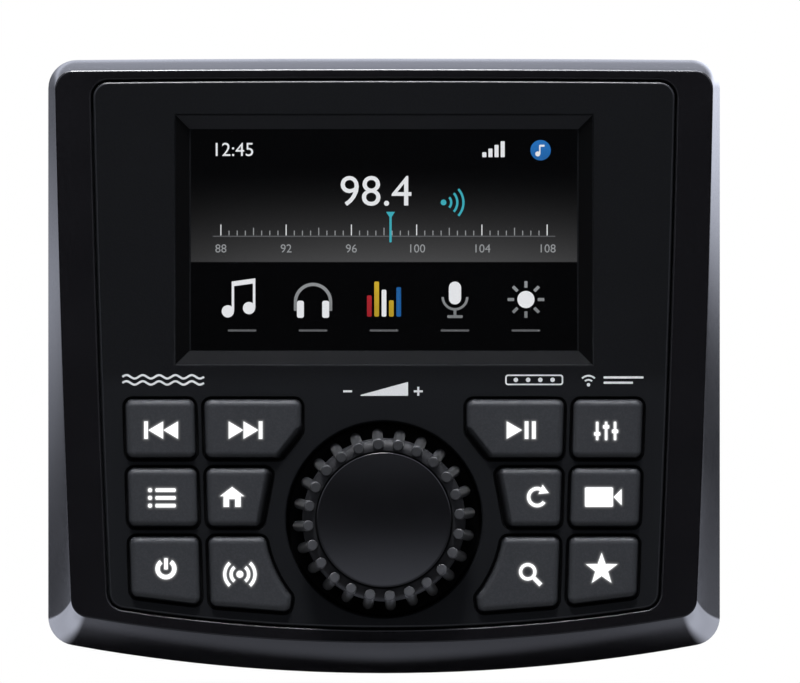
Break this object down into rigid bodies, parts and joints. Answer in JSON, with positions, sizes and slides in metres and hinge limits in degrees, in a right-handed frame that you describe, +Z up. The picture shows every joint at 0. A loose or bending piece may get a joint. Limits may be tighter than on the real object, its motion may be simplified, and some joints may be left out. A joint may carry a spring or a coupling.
{
  "type": "marine stereo",
  "caption": "Flush-mount marine stereo: tapered trim, colour display, lit keys beside a ribbed push-and-turn knob, and a sealed finned chassis that passes through the dash.",
  "frame": {"origin": "centre of the four mounting studs, on the dash surface that the gasket seals on", "axes": "+X to the right as seen from the front, +Y into the dash, +Z up"},
  "size_m": [0.165, 0.0912, 0.151],
  "materials": {
    "trim_plastic": "smooth satin-gloss black paint",
    "panel_plastic": "fine-grained matt charcoal",
    "key_plastic": "matt soft-touch dark grey with lit legends",
    "knob_plastic": "satin dark grey",
    "cap_plastic": "satin black, dished",
    "lens_acrylic": "clear coated acrylic",
    "display_face": "dark display glass with a lit picture",
    "housing_plastic": "moulded black",
    "seal_rubber": "black foam and rubber",
    "silicone": "translucent grey silicone",
    "circuit_board": "green solder mask",
    "steel": "plated and stainless steel",
    "chassis_sheet": "drawn aluminium sheet",
    "plate_paint": "black-coated plate",
    "sink_anodised": "black anodised extrusion",
    "brass": "plain brass",
    "copper": "lacquered copper wire",
    "chip_epoxy": "moulded epoxy",
    "nylon": "natural nylon",
    "socket_black": "black nylon",
    "fuse_blue": "clear blue plastic"
  },
  "bodies": {
    "housing": {"trim_bezel": "trim_plastic", "front_panel": "panel_plastic", "display_lens": "lens_acrylic", "lcd_glass": "display_face", "front_housing": "housing_plastic", "encoder_body": "housing_plastic", "dash_gasket": "seal_rubber", "panel_seal": "seal_rubber", "lens_gasket": "seal_rubber", "shaft_seal": "seal_rubber", "rear_seal": "seal_rubber", "keypad_mat": "silicone", "key_board": "circuit_board", "encoder_board": "circuit_board", "main_board": "circuit_board", "backlight_tray": "steel", "display_bracket": "steel", "inner_screws": "steel", "encoder_nut": "steel", "mounting_studs": "steel", "panel_screws": "steel", "chassis_screws": "steel", "back_screws": "steel", "heat_sink_screws": "steel", "board_screws": "steel", "chip_clamp": "steel", "tuner_module": "steel", "antenna_socket": "steel", "rear_chassis": "chassis_sheet", "rear_plate": "plate_paint", "heat_sink": "sink_anodised", "board_spacers": "brass", "choke_coil": "copper", "amplifier_chip": "chip_epoxy", "capacitors": "chip_epoxy", "av_socket": "nylon", "board_connector": "nylon", "display_ribbon": "nylon", "key_leds": "nylon", "power_socket": "socket_black", "fuse_holder": "socket_black", "fuse": "fuse_blue"},
    "rotor": {"encoder_rotor": "nylon"},
    "knob": {"knob_cap": "cap_plastic", "knob_grip": "knob_plastic", "knob_hub": "knob_plastic", "encoder_shaft": "steel"},
    "key_previous": {"key_previous": "key_plastic"},
    "key_next": {"key_next": "key_plastic"},
    "key_mode": {"key_mode": "key_plastic"},
    "key_home": {"key_home": "key_plastic"},
    "key_power": {"key_power": "key_plastic"},
    "key_band": {"key_band": "key_plastic"},
    "key_play": {"key_play": "key_plastic"},
    "key_tone": {"key_tone": "key_plastic"},
    "key_repeat": {"key_repeat": "key_plastic"},
    "key_camera": {"key_camera": "key_plastic"},
    "key_scan": {"key_scan": "key_plastic"},
    "key_favourite": {"key_favourite": "key_plastic"}
  },
  "joints": [
    {"name": "press_previous", "type": "slide", "parent": "housing", "child": "key_previous", "axis": [0, 1, 0], "range_m": [0, 0.0009], "stiffness_N_per_m": 600, "springref_m": -0.0015, "deforming": ["keypad_mat"]},
    {"name": "press_next", "type": "slide", "parent": "housing", "child": "key_next", "axis": [0, 1, 0], "range_m": [0, 0.0009], "stiffness_N_per_m": 600, "springref_m": -0.0015, "deforming": ["keypad_mat"]},
    {"name": "press_mode", "type": "slide", "parent": "housing", "child": "key_mode", "axis": [0, 1, 0], "range_m": [0, 0.0009], "stiffness_N_per_m": 600, "springref_m": -0.0015, "deforming": ["keypad_mat"]},
    {"name": "press_home", "type": "slide", "parent": "housing", "child": "key_home", "axis": [0, 1, 0], "range_m": [0, 0.0009], "stiffness_N_per_m": 600, "springref_m": -0.0015, "deforming": ["keypad_mat"]},
    {"name": "press_power", "type": "slide", "parent": "housing", "child": "key_power", "axis": [0, 1, 0], "range_m": [0, 0.0009], "stiffness_N_per_m": 600, "springref_m": -0.0015, "deforming": ["keypad_mat"]},
    {"name": "press_band", "type": "slide", "parent": "housing", "child": "key_band", "axis": [0, 1, 0], "range_m": [0, 0.0009], "stiffness_N_per_m": 600, "springref_m": -0.0015, "deforming": ["keypad_mat"]},
    {"name": "press_play", "type": "slide", "parent": "housing", "child": "key_play", "axis": [0, 1, 0], "range_m": [0, 0.0009], "stiffness_N_per_m": 600, "springref_m": -0.0015, "deforming": ["keypad_mat"]},
    {"name": "press_tone", "type": "slide", "parent": "housing", "child": "key_tone", "axis": [0, 1, 0], "range_m": [0, 0.0009], "stiffness_N_per_m": 600, "springref_m": -0.0015, "deforming": ["keypad_mat"]},
    {"name": "press_repeat", "type": "slide", "parent": "housing", "child": "key_repeat", "axis": [0, 1, 0], "range_m": [0, 0.0009], "stiffness_N_per_m": 600, "springref_m": -0.0015, "deforming": ["keypad_mat"]},
    {"name": "press_camera", "type": "slide", "parent": "housing", "child": "key_camera", "axis": [0, 1, 0], "range_m": [0, 0.0009], "stiffness_N_per_m": 600, "springref_m": -0.0015, "deforming": ["keypad_mat"]},
    {"name": "press_scan", "type": "slide", "parent": "housing", "child": "key_scan", "axis": [0, 1, 0], "range_m": [0, 0.0009], "stiffness_N_per_m": 600, "springref_m": -0.0015, "deforming": ["keypad_mat"]},
    {"name": "press_favourite", "type": "slide", "parent": "housing", "child": "key_favourite", "axis": [0, 1, 0], "range_m": [0, 0.0009], "stiffness_N_per_m": 600, "springref_m": -0.0015, "deforming": ["keypad_mat"]},
    {"name": "knob_turn", "type": "hinge", "parent": "housing", "child": "rotor", "pos_m": [0, -0.007, -0.03765], "axis": [0, 1, 0], "continuous": true},
    {"name": "knob_push", "type": "slide", "parent": "rotor", "child": "knob", "axis": [0, 1, 0], "range_m": [0, 0.0006], "stiffness_N_per_m": 2500, "springref_m": -0.0012}
  ]
}
